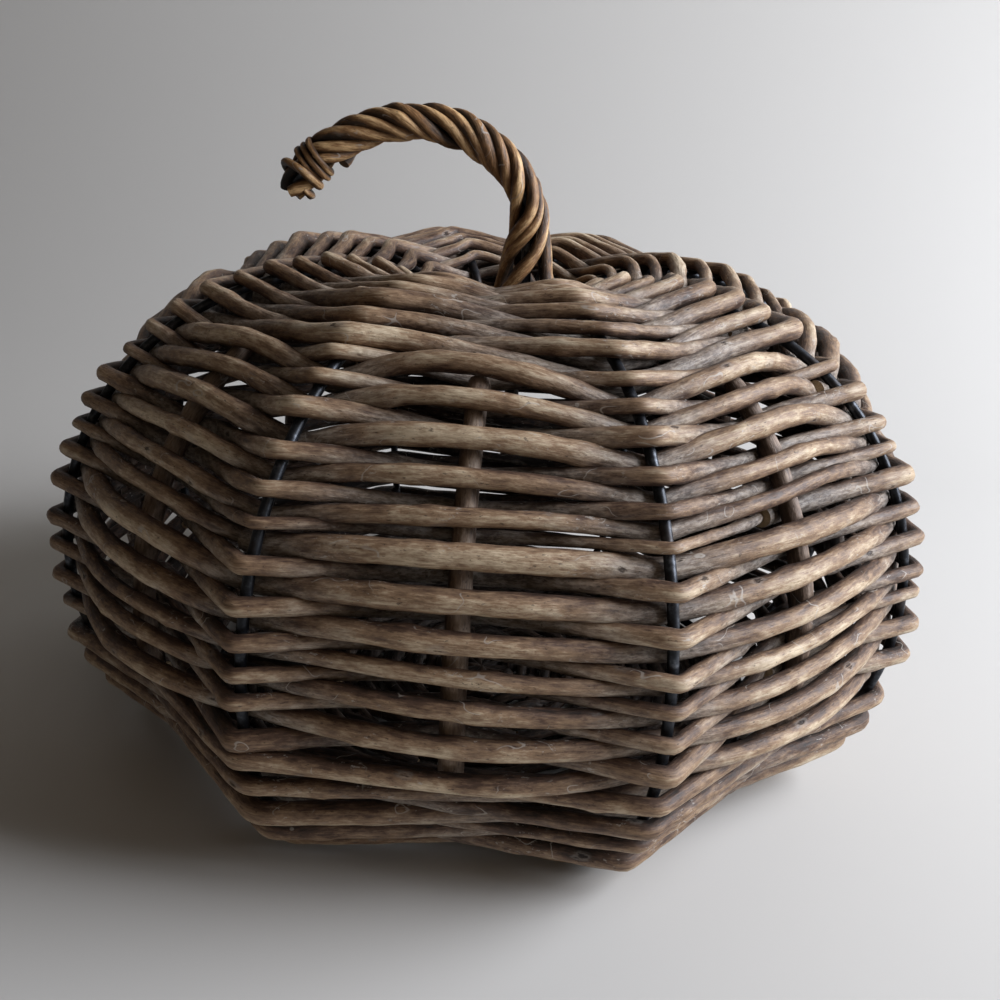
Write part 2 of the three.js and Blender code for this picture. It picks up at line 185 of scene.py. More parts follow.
def lumpy_radius(random, at, wide, swell, bud_gap):
    """radius = half the diameter * (1 + waves) + a bump and a faint ring for each bud.

    A wave is cos(lobes * turn + the way along), and bumps and rings fall off as a bell curve.
    """
    waves = sum(
        random.normal(0, swell / 2)
        * np.cos(lobes * RING_TURN + 2 * math.pi * at / wave + random.uniform(0, ANY_TURN))
        for lobes, wave in WAVES
    )
    bud_count = int(at[-1, 0] / bud_gap) + 2
    bud_at = np.cumsum(random.uniform(0.4, 1.6, bud_count)) * bud_gap
    bud_turn = random.uniform(0, 2 * math.pi, bud_count)
    around = (RING_TURN[..., None] - bud_turn + math.pi) % (2 * math.pi) - math.pi
    away = ((at[..., None] - bud_at) / BUD_LENGTH) ** 2
    away = away + (around * wide[..., None] / BUD_WIDTH) ** 2
    ring = np.exp(-(((at - bud_at) / JOINT_LENGTH) ** 2)).sum(1, keepdims=True)
    radius = wide * (1 + waves) + BUD_HEIGHT * np.exp(-away).sum(-1) + JOINT_HEIGHT * ring
    radius[[0, -1]] *= CUT_SHARE
    return radius


sample_at = np.arange(0, 200.0)[:, None]
sample_wide = 3.5 + 0 * sample_at
sample = lumpy_radius(np.random.default_rng(SEED), sample_at, sample_wide, 0.035, 75.0)
print("a rod of 7 mm has radii from", sample[1:-1].min().round(2), "to", sample.max().round(2))

# %% [markdown]
# ## One willow rod
#
# A rod is a ring of points carried along its path and closed by a flat cut at each end. Bark drawn
# in the pumpkin's own space would run straight through every bend. So each point keeps its place in
# the straightened rod, and bark drawn there follows the rod. Two numbers go with it. The first is
# wear and painted light at once: most on the outer side, as wear and as a painted highlight, and
# least on the inner side and where the rod goes in behind an upright, as painted shade. The second
# is how much dust and wash the point holds, which is most on top where the rod goes in behind
# another one, and it also places painted shade in those crevices.

# %% Faces of a rod
def rod_faces(steps):
    """Four-sided faces from each ring to the next, and a fan of triangles on each cut.

    Ring i has the corners i * SIDES to (i + 1) * SIDES - 1. The last two are the cuts' middles.
    """
    i, j = np.meshgrid(np.arange(steps - 1), np.arange(SIDES), indexing="ij")
    a, b = i * SIDES + j, i * SIDES + (j + 1) % SIDES
    sides = np.stack([a, b, b + SIDES, a + SIDES], -1).reshape(-1, 4)
    j, last, middle = np.arange(SIDES), (steps - 1) * SIDES, steps * SIDES
    after = (j + 1) % SIDES
    cuts = np.concatenate([
        np.column_stack([np.full(SIDES, middle), after, j]),
        np.column_stack([np.full(SIDES, middle + 1), last + j, last + after]),
    ])
    return sides, cuts


print("100 rings make", len(rod_faces(100)[0]), "sides and", len(rod_faces(100)[1]), "triangles")

# %% One willow rod
# Where a rod is hidden behind an upright, less wear reaches it and its bark is painted darker
# there, as shade.
HIDDEN = 0.45  # how exposed a rod still is behind an upright
# The turn round the rod of its most worn side, which is also painted as its lit side, and of its
# dustiest side.
WEAR_AND_SHADING_TURN, DUST_TURN = 0.35, 0.8


def willow_rod(path, outward, diameter, seed, exposed=1.0, swell=0.035, bud_gap=75.0):
    """point = path + radius * (cos(turn) * outward + sin(turn) * sideways), with both ends cut.

    Wear with painted light, and dust, are (1 + cos(turn - a small turn)) / 2, times exposed and
    times 1 - exposed, and dust is stretched so that it can reach 1. The first is wear and a painted
    highlight on the outer side, and painted shade on the inner side and behind the uprights.
    """
    random = np.random.default_rng(SEED * 1000 + seed)
    along = unit(np.gradient(path, axis=0))
    first = unit(outward - np.sum(outward * along, 1, keepdims=True) * along)
    second = np.cross(along, first)
    at = travelled(path)[:, None]
    wide = np.broadcast_to(np.asarray(diameter, float), len(path))[:, None] / 2
    radius = lumpy_radius(random, at, wide, swell, bud_gap)
    across, aside = np.cos(RING_TURN), np.sin(RING_TURN)
    spoke = across[..., None] * first[:, None] + aside[..., None] * second[:, None]
    ring = path[:, None] + radius[..., None] * spoke
    sides, cuts = rod_faces(len(path))
    straight = np.stack([at + 0 * radius, radius * across, radius * aside], -1)
    ends = np.array([[0, 0, 0], [at[-1, 0], 0, 0]])
    shift = np.array([random.uniform(0, 9000), 0, 0])
    reach = np.broadcast_to(np.asarray(exposed, float), len(path))[:, None]
    # The first number paints the outer side as worn and lit, and the inner side and the hidden
    # stretches as shade. dust places dust and wash, and painted shade between the grains of wash.
    weather = reach * (0.5 + 0.5 * np.cos(RING_TURN - WEAR_AND_SHADING_TURN))
    dust = (1 - reach) * (0.5 + 0.5 * np.cos(RING_TURN - DUST_TURN)) / (1 - HIDDEN)
    rim = np.full(len(path) * SIDES + 2, -1)
    rim[:SIDES], rim[-SIDES - 2:-2] = 0, 1
    return {
        "points": np.concatenate([ring.reshape(-1, 3), path[[0, -1]]]),
        "sides": sides,
        "cuts": cuts,
        "bark": np.concatenate([straight.reshape(-1, 3), ends]) + shift,
        "weather": np.concatenate([weather.ravel(), [0.5, 0.5]]),
        "dust": np.concatenate([dust.ravel(), [0.0, 0.0]]),
        "rim": rim,
    }


sample_path = np.linspace([0, 0, 0], [200.0, 0, 0], 100)
sample = willow_rod(sample_path, np.tile([0.0, 0, 1.0], (100, 1)), 7.0, seed=0)
print("a sample rod has", len(sample["points"]), "points")

# %% [markdown]
# ## From arrays to an object
#
# The base and the binding hold more than one rod, so parts are joined before they become a mesh.
# The arrays go in whole, with foreach_set, which is far faster than adding faces one by one. The
# rims of the cuts are marked sharp, so that smooth shading doesn't round a cut end.

# %% Join parts into one object
def make_piece(name, parts, material, node):
    """One mesh object from the parts' arrays, in metres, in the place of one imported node."""
    counts = [len(part["points"]) for part in parts]
    first = np.concatenate([[0], np.cumsum(counts)[:-1]])
    sides, cuts = (
        np.concatenate([part[faces] + offset for part, offset in zip(parts, first)])
        for faces in ("sides", "cuts")
    )
    points, bark, weather, dust = (
        np.concatenate([part[values] for part in parts])
        for values in ("points", "bark", "weather", "dust")
    )
    rims = [np.where(part["rim"] < 0, -1, part["rim"] + 2 * n) for n, part in enumerate(parts)]
    mesh = bpy.data.meshes.new(name)
    mesh.vertices.add(len(points))
    mesh.vertices.foreach_set("co", (points * MM).ravel())
    mesh.loops.add(sides.size + cuts.size)
    mesh.loops.foreach_set("vertex_index", np.concatenate([sides.ravel(), cuts.ravel()]))
    mesh.polygons.add(len(sides) + len(cuts))
    starts = np.concatenate([np.arange(len(sides)) * 4, sides.size + np.arange(len(cuts)) * 3])
    mesh.polygons.foreach_set("loop_start", starts)
    mesh.polygons.foreach_set("use_smooth", np.ones(len(starts), bool))
    mesh.update(calc_edges=True)
    edges = np.zeros(len(mesh.edges) * 2, np.int32)
    mesh.edges.foreach_get("vertices", edges)
    ends = np.concatenate(rims)[edges.reshape(-1, 2)]
    for attribute, kind, domain, field, values in (
        ("sharp_edge", "BOOLEAN", "EDGE", "value", (ends[:, 0] >= 0) & (ends[:, 0] == ends[:, 1])),
        ("bark", "FLOAT_VECTOR", "POINT", "vector", (bark * MM).ravel()),
        ("weather", "FLOAT", "POINT", "value", weather),
        ("dust", "FLOAT", "POINT", "value", dust),
        ("cut", "FLOAT", "FACE", "value", np.repeat([0.0, 1.0], [len(sides), len(cuts)])),
    ):
        mesh.attributes.new(attribute, kind, domain).data.foreach_set(field, values)
    mesh.materials.append(material)
    piece = bpy.data.objects.new(name, mesh)
    bpy.context.scene.collection.objects.link(piece)
    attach(piece, "root")
    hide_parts(node)


print("the packed nodes to dress or replace are", len(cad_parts))

# %% [markdown]
# ## Colours and nodes
#
# Colours are written as a painter reads them off a screen, in sRGB, and one function turns them to
# the linear values that a shader wants. Nodes could be placed by hand in the editor, but then the
# recipe is hidden in a tangle of wires. One small function adds a node of any kind with its
# settings and links and gives its output, so that a material reads as a list of what is seen on
# the real thing. The kinds of node that come back often have short names.

# %% Colours and nodes
TIMES, TIMES_PLUS, MINUS, POWER, ABSOLUTE = (
    ("ShaderNodeMath", {"operation": operation})
    for operation in ("MULTIPLY", "MULTIPLY_ADD", "SUBTRACT", "POWER", "ABSOLUTE")
)
EACH_TIMES, EACH_MINUS, EACH_OVER, LENGTH = (
    ("ShaderNodeVectorMath", {"operation": operation})
    for operation in ("MULTIPLY", "SUBTRACT", "DIVIDE", "LENGTH")
)
NOISE, BUMP, PRINCIPLED = "ShaderNodeTexNoise", "ShaderNodeBump", "ShaderNodeBsdfPrincipled"
OUTPUT = "ShaderNodeOutputMaterial"
STEP = ("ShaderNodeMapRange", {"interpolation_type": "SMOOTHSTEP"})
MIX = ("ShaderNodeMix", {"data_type": "RGBA"})
FACTOR, A, B, MIXED = 0, 6, 7, 2  # where a colour Mix node has its sockets


def linear(colour):
    """sRGB hex to linear: v / 12.92 below 0.04045, else ((v + 0.055) / 1.055)^2.4."""
    values = [int(colour[i:i + 2], 16) / 255 for i in (1, 3, 5)]
    return (*[v / 12.92 if v <= 0.04045 else ((v + 0.055) / 1.055) ** 2.4 for v in values], 1.0)


def add(tree, kind, inputs=(), output=0):
    """Adds a node, fills or links its inputs, given by place or by name, and gives one output.

    kind is the node's type, or its type and its settings, where stops are those of a ramp.
    """
    kind, settings = (kind, {}) if isinstance(kind, str) else kind
    node = tree.nodes.new(kind)
    for key, value in settings.items():
        if key == "stops":
            ramp = node.color_ramp.elements
            while len(ramp) < len(value):
                ramp.new(0.5)
            for element, (position, colour) in zip(ramp, value):
                element.position, element.color = position, linear(colour)
        else:
            setattr(node, key, value)
    for key, value in (inputs if isinstance(inputs, dict) else dict(enumerate(inputs))).items():
        if isinstance(value, bpy.types.NodeSocket):
            tree.links.new(value, node.inputs[key])
        else:
            node.inputs[key].default_value = value
    return node.outputs[output] if len(node.outputs) else None


def new_material(name):
    """An empty material, and the function above bound to its node tree."""
    material = bpy.data.materials.new(name)
    material.use_nodes = True
    material.node_tree.nodes.clear()
    return material, partial(add, material.node_tree)


print("worn willow in linear values is", [round(v, 3) for v in linear("#93785d")])

# %% [markdown]
# ## Unpeeled, weathered willow
#
# Willow bark dries to a dull brown skin with fine lengthwise grain. Where hands and weather reach
# it, on the outer side of each rod, it is worn to gold, and the same number paints that side with a
# painted highlight and the inner side and the hidden stretches with painted shade. Where a rod dips
# behind the uprights, dust and a grey wash stay on its upper side, and painted shade darkens it
# between the grains of wash. A picture of bark would repeat and blur, so the colour is worked out
# instead: it follows the two numbers of each point, broken up by patches of about a centimetre,
# streaks, fibres, dark specks, pale scratches and bud scars. The bark is satin at best: a high
# roughness, a little lower where it is worn smooth. Cut ends show pale wood round a brown pith, and
# on the stem they have darkened.

# %% Patterns of the bark
# Each is noise: its size across the rod in mm, that size over its size along the rod, detail,
# roughness, and its shares in the tone and in the relief. Real fibres are about 0.1 mm wide, too
# fine to show in the render, so they are drawn 0.5 mm wide.
BARK_PATTERNS = {
    "fibres": (0.5, 0.08, 2.0, 0.6, 0.35, 0.3),
    "grain": (1.3, 0.28, 4.0, 0.7, 0.7, 0.7),
    "streaks": (2.6, 0.1, 3.0, 0.6, 0.5, 0.8),
    "patches": (6.0, 0.45, 4.0, 0.65, 0.9, 0.9),
    "whole rod": (120.0, 0.5, 1.0, 0.55, 0.8, 0.0),
    "grains of wash": (1.2, 0.32, 4.0, 0.7, 0.0, 0.0),
    "specks": (0.9, 0.4, 2.0, 0.6, 0.0, 0.0),
    "flecks": (1.3, 0.5, 3.0, 0.7, 0.0, 0.0),
    "flecked places": (11.0, 0.6, 2.0, 0.55, 0.0, 0.0),
    "scratches": (9.0, 0.7, 1.0, 0.55, 0.0, 0.0),
    "scratched places": (16.0, 0.8, 1.0, 0.55, 0.0, 0.0),
}
SCAR_SPACING = (85 * MM, 7 * MM, 7 * MM)
SCAR_SHAPE = (48, 7, 7)
PITH_INNER, PITH_OUTER = 0.4 * MM, 1.2 * MM
BARK_RELIEF = 0.6 * MM
print("patterns of the bark", len(BARK_PATTERNS))

# %% Unpeeled willow
def willow_bark(name, deep, brown, worn_brown, gold, wash, wash_amount, wear_and_shading_power, wood):
    """Bark in the straightened rod's own space: x runs along the rod, y and z across it."""
    material, node = new_material(name)
    bark = node(("ShaderNodeAttribute", {"attribute_name": "bark"}), output="Vector")
    weather, dust, cut = (
        node(("ShaderNodeAttribute", {"attribute_name": attribute}), output="Fac")
        for attribute in ("weather", "dust", "cut")
    )
    noise = {
        pattern: node(NOISE, {
            "Vector": node(EACH_TIMES, (bark, (along, 1, 1))), "Scale": 1 / (size * MM),
            "Detail": detail, "Roughness": rough,
        })
        for pattern, (size, along, detail, rough, _, _) in BARK_PATTERNS.items()
    }

    # The skin turns from deep brown to gold with wear and painted light: gold is wear and a painted
    # highlight on the outer side, deep brown is painted shade on the inner side. Most patterns have
    # a share in it.
    tone = node(TIMES_PLUS, (node(POWER, (weather, wear_and_shading_power)), 0.6, 0.1))
    for pattern, (*_, share, _) in BARK_PATTERNS.items():
        if share:
            tone = node(TIMES_PLUS, (node(MINUS, (noise[pattern], 0.5)), share, tone))
    stops = (0.02, deep), (0.3, brown), (0.58, worn_brown), (0.9, gold)
    skin = node(("ShaderNodeValToRGB", {"stops": stops}), (tone,))

    # Wash and painted shade share the hidden stretches, where rods go in behind one another: wash
    # on its grains, painted shade in deep brown between them.
    grains = node(STEP, (noise["grains of wash"], 0.36, 0.62))
    washed = node(TIMES_PLUS, (dust, 0.7, node(TIMES, (noise["streaks"], 0.3))))
    washed = node(STEP, (node(TIMES_PLUS, (noise["patches"], 0.6, washed)), 0.55, 0.95))
    washed = node(TIMES, (washed, node(TIMES_PLUS, (grains, 0.5, 0.5))))
    painted_crevice_shade = node(STEP, (node(TIMES_PLUS, (noise["patches"], 0.5, dust)), 0.3, 0.8))
    painted_crevice_shade = node(TIMES, (painted_crevice_shade, node(MINUS, (1.0, grains))))

    # Specks and flecks are the peaks of a noise, and a scratch is the line where one passes a half.
    specks = node(STEP, (noise["specks"], 0.64, 0.72))
    flecks = node(TIMES, (node(STEP, (noise["flecks"], 0.58, 0.68)),
                          node(STEP, (noise["flecked places"], 0.54, 0.64))))
    line = node(ABSOLUTE, (node(MINUS, (noise["scratches"], 0.5)),))
    scratches = node(TIMES, (node(STEP, (line, 0.004, 0.011, 1.0, 0.0)),
                             node(STEP, (noise["scratched places"], 0.58, 0.62))))

    # Bud scars lie at random points, one to a cell, each a dark oval in a thin pale halo.
    cells = node(EACH_OVER, (bark, SCAR_SPACING))
    scar_at = node("ShaderNodeTexVoronoi", {"Vector": cells, "Scale": 1.0}, "Position")
    gap = node(EACH_TIMES, (node(EACH_MINUS, (cells, scar_at)), SCAR_SHAPE))
    gap = node(LENGTH, (gap,), "Value")
    gap = node(TIMES_PLUS, (node(MINUS, (noise["grain"], 0.5)), 4.0, gap))
    scars = node(STEP, (gap, 0.4, 1.1, 1.0, 0.0))
    halos = node(TIMES, (node(STEP, (gap, 0.7, 1.3)), node(STEP, (gap, 1.3, 2.4, 1.0, 0.0))))

    # The deep brown laid over the hidden stretches between the grains of wash is painted shade.
    for where, strength, layer in (
        (washed, wash_amount, wash), (painted_crevice_shade, 0.45, deep), (specks, 0.6, deep),
        (flecks, 0.7, wash), (scratches, 0.6, wash), (halos, 0.25, wash), (scars, 0.8, deep),
    ):
        amount = node(TIMES, (where, strength))
        skin = node(MIX, {FACTOR: amount, A: skin, B: linear(layer)}, MIXED)

    # A cut end has a brown pith, wood round it, and stains.
    from_middle = node(LENGTH, (node(EACH_TIMES, (bark, (0, 1, 1))),), "Value")
    beyond_pith = node(STEP, (from_middle, PITH_INNER, PITH_OUTER))
    end = node(MIX, {FACTOR: beyond_pith, A: linear(brown), B: linear(wood)}, MIXED)
    stained = node(STEP, (noise["patches"], 0.4, 0.65, 0.0, 0.5))
    end = node(MIX, {FACTOR: stained, A: end, B: linear(worn_brown)}, MIXED)
    colour = node(MIX, {FACTOR: cut, A: skin, B: end}, MIXED)

    relief = node(TIMES, (scars, -0.5))
    for pattern, (*_, share) in BARK_PATTERNS.items():
        if share:
            relief = node(TIMES_PLUS, (noise[pattern], share, relief))
    bump = node(BUMP, {"Strength": 0.8, "Distance": BARK_RELIEF, "Height": relief})
    rough = node(TIMES_PLUS, (noise["grain"], 0.4, 0.44))
    rough = node(TIMES_PLUS, (weather, -0.14, rough))
    surface = node(PRINCIPLED, {"Base Color": colour, "Roughness": rough, "Normal": bump,
                                "IOR": 1.45})
    node(OUTPUT, (surface,))
    return material


weaver_bark = willow_bark(
    "weathered_willow_bark", deep="#221812", brown="#574133", worn_brown="#93785d",
    gold="#d5c2a4", wash="#b4ada3", wash_amount=0.65, wear_and_shading_power=1.3, wood="#c8b08c",
)
# A darker copy of the bark, partly painted shade: the stakes show only in the shaded gaps between
# the rows, and the base lies in shade under the pumpkin.
stake_bark = willow_bark(
    "dark_willow_bark", deep="#2a201a", brown="#5b483a", worn_brown="#8a7462",
    gold="#b89e84", wash="#a8a39d", wash_amount=0.45, wear_and_shading_power=1.3, wood="#b39a78",
)
# On the stem a steeper power on the number for wear and light paints the outer crests of the
# strands as bright highlights and the grooves between them as deep shade.
stem_bark = willow_bark(
    "stem_willow_bark", deep="#1a120c", brown="#4a3522", worn_brown="#8d6843",
    gold="#e3bf8c", wash="#a5a19b", wash_amount=0.3, wear_and_shading_power=2.6, wood="#4e3c2a",
)
print("materials", [bark.name for bark in (weaver_bark, stake_bark, stem_bark)])

# %% [markdown]
# ## Blackened steel
#
# The ribs are hot-rolled rod, left with its blue-black mill scale. The scale is dark and satin,
# with brighter scuffs where it has rubbed off and a little dust and rust. Black paint would be
# easier to draw, but it has no glint. This is metal under a thin skin, so metallic stays high and
# the colour carries the darkness, and it is rougher where dust lies.

# %% Blackened steel
SCUFF_SIZE, DUST_SIZE, SCALE_RELIEF = 4.0 * MM, 14.0 * MM, 0.15 * MM


def blackened_steel():
    """A ramp of dark greys over the noise of the scuffs, mixed with dust by a wider noise."""
    material, node = new_material("blackened_steel_rod")
    place = node("ShaderNodeTexCoord", output="Object")
    scuffs = node(NOISE, {"Vector": place, "Scale": 1 / SCUFF_SIZE, "Detail": 4.0,
                          "Roughness": 0.65})
    dust = node(NOISE, {"Vector": place, "Scale": 1 / DUST_SIZE, "Detail": 3.0})
    stops = (0.35, "#242629"), (0.55, "#373a3f"), (0.72, "#666a70")
    scale = node(("ShaderNodeValToRGB", {"stops": stops}), (scuffs,))
    dusty = node(STEP, (dust, 0.52, 0.72, 0.0, 0.45))
    colour = node(MIX, {FACTOR: dusty, A: scale, B: linear("#5a4a3d")}, MIXED)
    rough = node(TIMES_PLUS, (dust, 0.4, 0.2))
    bump = node(BUMP, {"Strength": 0.4, "Distance": SCALE_RELIEF, "Height": scuffs})
    surface = node(PRINCIPLED, {"Base Color": colour, "Metallic": 0.75, "Roughness": rough,
                                "Normal": bump})
    node(OUTPUT, (surface,))
    return material


steel = blackened_steel()
print("material", steel.name)

# %% [markdown]
# ## The ribs
#
# Each rib is one bent rod of 4 mm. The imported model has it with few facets. The function of the
# willow rods serves here too, without lumps and buds, and gives a smooth round rod along the
# outline, in the same place.

# %% Steel ribs
RIB_DIAMETER = 4.0
UPRIGHT_STEP = 3.0
SMOOTH = {"swell": 0.0, "bud_gap": 1e6}
rib_length = np.arange(0, outline_at[-1], UPRIGHT_STEP)
for number in range(RIB_COUNT):
    azimuth = np.full(len(rib_length), (number + 0.5) * PANEL)
    path, outward = shell(rib_length, azimuth, 0.0)
    rod = willow_rod(path, outward, RIB_DIAMETER, seed=number, **SMOOTH)
    make_piece(f"rib_{number + 1}", [rod], steel, f"steel_rib_{number + 1}")
print("ribs", RIB_COUNT)

# %% [markdown]
# ## The plan of the weave
#
# The weave is chased: two runs of rods climb together like a double thread. A stack of closed rings
# would look much the same from afar, but a weaver can't make it, and its rods would have no ends.
# A run rises two rows in a round, the other starts half a round later, and so each lies between the
# turns of the other. In the belly one run goes over every rib and behind every stake, and the other
# the other way round. Near the base and on top there are no stakes, and each run goes over every
# other rib. A place is an eighth of a half round: odd places are ribs and even ones are stakes.

# %% Crossings of the two runs
BODY_ROWS, DIP_ROWS = 44, 7
ROWS = BODY_ROWS + DIP_ROWS
FIRST_LEVEL, LAST_LEVEL = 14.0, 315.7
FIRST_STAKE_ROW, LAST_STAKE_ROW = 10, 33
OVER_RIBS, OVER_STAKES = 0, 1


def crossings(run):
    """Row, side (1 outside, -1 inside) and kind of every upright that a run passes, base to dip."""
    first = RIB_COUNT * (run + 1)
    place = np.arange(first, first + (ROWS - 1) * RIB_COUNT + 1)
    at_row = (place - first) / RIB_COUNT
    stake = place % 2 == 0
    among = (at_row >= FIRST_STAKE_ROW) & (at_row <= LAST_STAKE_ROW)
    side = np.where(among, np.where(stake == (run == OVER_STAKES), 1, -1),
                    np.where(place // 2 % 2 == run, 1, -1))
    at_row, side, stake = (v[among | ~stake] for v in (at_row, side, stake))
    hidden = np.flatnonzero(side < 0)
    kept = slice(hidden[0], hidden[-1] + 1)
    return at_row[kept], side[kept], stake[kept]


print("crossings", [len(crossings(run)[0]) for run in (OVER_RIBS, OVER_STAKES)])

# %% [markdown]
# ## Rods of the runs
#
# A real run is pieced together from many rods. Where one ends, its tip is hidden behind an upright
# and the butt of the next carries on. The cuts could be even in length, but a weaver keeps long
# rods for wide rounds. So a round counts by the square root of its radius, and each cut goes to
# the nearest hidden crossing.

# %% Where the rods are cut
ROD_COUNTS = (17, 16)


def azimuth_at(run, at_row):
    """A run turns half a round for each row, and the second starts half a round after the first."""
    return (run + 1 + at_row) * math.pi


def even_level(at_row):
    """The length up a rib where a row would lie if all rods were alike."""
    crest = outline_at[np.argmax(outline[:, 1])]
    body = FIRST_LEVEL + at_row * (crest - FIRST_LEVEL) / (BODY_ROWS - 0.5)
    dip = crest + (at_row - BODY_ROWS + 0.5) * (LAST_LEVEL - crest) / (DIP_ROWS - 0.5)
    return np.where(at_row < BODY_ROWS - 0.5, body, dip)


def cut_rows(run):
    """The rows at which a run is cut, from the running sum of rows * sqrt(radius)."""
    at_row, side, stake = crossings(run)
    radius = np.interp(even_level(at_row[1:]), outline_at, outline[:, 0])
    counted = np.concatenate([[0], np.cumsum(np.diff(at_row) * np.sqrt(radius))])
    hidden = np.flatnonzero(side < 0)
    wanted = counted[-1] * np.arange(ROD_COUNTS[run] + 1) / ROD_COUNTS[run]
    return at_row[hidden[np.argmin(np.abs(counted[hidden] - wanted[:, None]), axis=1)]]


cuts_of = [cut_rows(OVER_RIBS), cut_rows(OVER_STAKES)]
print("the rods end at rows", [list(np.round(cuts, 2)) for cuts in cuts_of])

# %% [markdown]
# ## How the rows stack
#
# A weaver beats each row down onto the last, so a row lies higher where the rods below it are thick
# and lower where they are thin. Every rod tapers from butt to tip, and the next one starts thick
# again. So a rod lies half of both diameters above the one below it, which is the other run half a
# round earlier. Added up row by row and stretched to fill the rib, that alone gives the uneven rows
# of the real weave. A slow wander and small pushes on top are the weaver's hand. They fade out at
# the base and in the dip.

# %% Thickness of the rods
BUTTS, TIPS = (7.3, 8.5), (4.9, 6.0)
BUTT_SPREAD, TIP_SPREAD = 0.6, 0.4
DIP_THINNING, THINNING_EARLY, THINNING_ROWS = 0.2, 1.5, 2.0
random = np.random.default_rng(SEED)
rod_sizes = [
    np.column_stack([butt + random.normal(0, BUTT_SPREAD, count),
                     tip + random.normal(0, TIP_SPREAD, count)])
    for butt, tip, count in zip(BUTTS, TIPS, ROD_COUNTS)
]


def rod_diameter(run, rod, at_row):
    """From butt to tip along the rod, and thinner in the dip, where the rows lie closer."""
    start, end = cuts_of[run][rod], cuts_of[run][rod + 1]
    share = ((at_row - start) / (end - start)).clip(0, 1)
    butt, tip = rod_sizes[run][rod].T
    in_dip = ((at_row - BODY_ROWS + THINNING_EARLY) / THINNING_ROWS).clip(0, 1)
    return (butt + (tip - butt) * share) * (1 - DIP_THINNING * in_dip)


print("butts and tips in mm", [sizes.mean(0).round(1) for sizes in rod_sizes])

# %% Levels of the two runs
HALF_ROUND = 360
HAND_WANDER, PUSHED, FADING = 0.7, 0.55, 2.5
HAND_WAVES = ((1, 1), (2, -1), (3, 1), (4, 2), (5, -2), (2, 3))  # waves in a round, drift by row
DRIFT = 0.16
EASED_OVER, PUSHED_OVER = 12, 24


def stack(thick):
    """Level of a row = level of the row below + half of both diameters, for both runs at once."""
    level = np.zeros_like(thick)
    rise = (thick[::-1, 0] + thick[:, HALF_ROUND]) / 2
    level[:, :HALF_ROUND] = rise[:, None] * np.arange(HALF_ROUND) / HALF_ROUND
    for row in range(1, ROWS):
        here = slice(row * HALF_ROUND, (row + 1) * HALF_ROUND)
        below = slice((row - 1) * HALF_ROUND, (row - 1) * HALF_ROUND + thick[:, here].shape[1])
        level[:, here] = level[::-1, below] + (thick[:, here] + thick[::-1, below]) / 2
    return level


run_row = np.arange((ROWS - 1) * HALF_ROUND + 1) / HALF_ROUND
rod_at = [
    (np.searchsorted(cuts, run_row, side="right") - 1).clip(0, len(cuts) - 2) for cuts in cuts_of
]
thick = np.stack([rod_diameter(run, rod_at[run], run_row) for run in (OVER_RIBS, OVER_STAKES)])
stacked = stack(soften(thick.T, EASED_OVER).T)
level = FIRST_LEVEL + (LAST_LEVEL - FIRST_LEVEL) * stacked / stacked[:, -1].mean()
run_azimuth = np.stack([azimuth_at(run, run_row) for run in (OVER_RIBS, OVER_STAKES)])
hand = sum(
    random.normal(0, HAND_WANDER)
    * np.cos(waves * run_azimuth + DRIFT * drift * run_row + random.uniform(0, ANY_TURN))
    for waves, drift in HAND_WAVES
)
pushed = soften(random.normal(0, 1, (len(run_row), 2)), PUSHED_OVER).T
pushed *= PUSHED / pushed.std()
fading = np.minimum(1, FADING * np.sin(math.pi * (run_row + 0.5) / ROWS))
level = level + (hand + pushed) * fading
spacing = float((level[:, -1] - level[:, 0]).mean() / (ROWS - 1))
print("rows", ROWS, "mean spacing in mm", round(spacing, 2))

# %% [markdown]
# ## The stakes
#
# A willow stake stands in the middle of each panel of the belly, butt down, pushed in among the
# rows, and shows as short bits of bark between them. It stops where the panels grow too narrow for
# it. It is a lumpy rod like the woven ones, but it simply follows the shell. The rows climb by one
# row in half a round, and the stakes' ends rise with the rows that hide them.

# %% Willow stakes
STAKE_FROM, STAKE_TO = 74.3, 220.7
STAKE_BUTT, STAKE_TIP = 9.0, 7.0
ROW_RISE = 6.2


def stake_diameter(length):
    """Tapers evenly from butt to tip."""
    return np.interp(length, [STAKE_FROM, STAKE_TO], [STAKE_BUTT, STAKE_TIP])


for number in range(RIB_COUNT):
    climbed = number / (RIB_COUNT / 2) % 1
    foot, top = STAKE_FROM + climbed * ROW_RISE, STAKE_TO - (1 - climbed) % 1 * ROW_RISE
    stake_length = np.arange(foot, top, UPRIGHT_STEP)
    azimuth = np.full(len(stake_length), number * PANEL)
    path, outward = shell(stake_length, azimuth, 0.0)
    # exposed below 1 paints the stakes darker, as shade in the gaps between the rows.
    rod = willow_rod(path, outward, stake_diameter(stake_length), seed=50 + number, exposed=0.8)
    node = f"willow_stake_{number + 1}"
    make_piece(f"stake_{number + 1}", [rod], stake_bark, node)
print("stakes", RIB_COUNT)

# %% [markdown]
# ## The path of one rod
#
# At an upright the rod lies outside or inside it by half of both diameters. A sine wave round the
# shell would be simple, but a rod is stiff and the uprights press into it. So from a rib to a stake
# the run over the ribs goes almost straight, with a sharp bend where the thin rib presses. The run
# over the stakes keeps to an even curve, because stakes stand further in than the ribs. Near the
# base and on top a rod runs straight from the outer side of one rib to the inner side of the next.
# Its thin end is tucked in behind the butt of the rod that carries on.

# %% Path of one rod
RIB_GAP, FLOOR_GAP = 0.3, 0.8
LEAD, TAIL, TUCK, TUCK_DEPTH = 9.0, 30.0, 34.0, 0.85
BENDS = (1.25, 2.0)  # 1 is a straight line from upright to upright
SOFTNESS = (1, 3)
PATH_POINTS = 5000


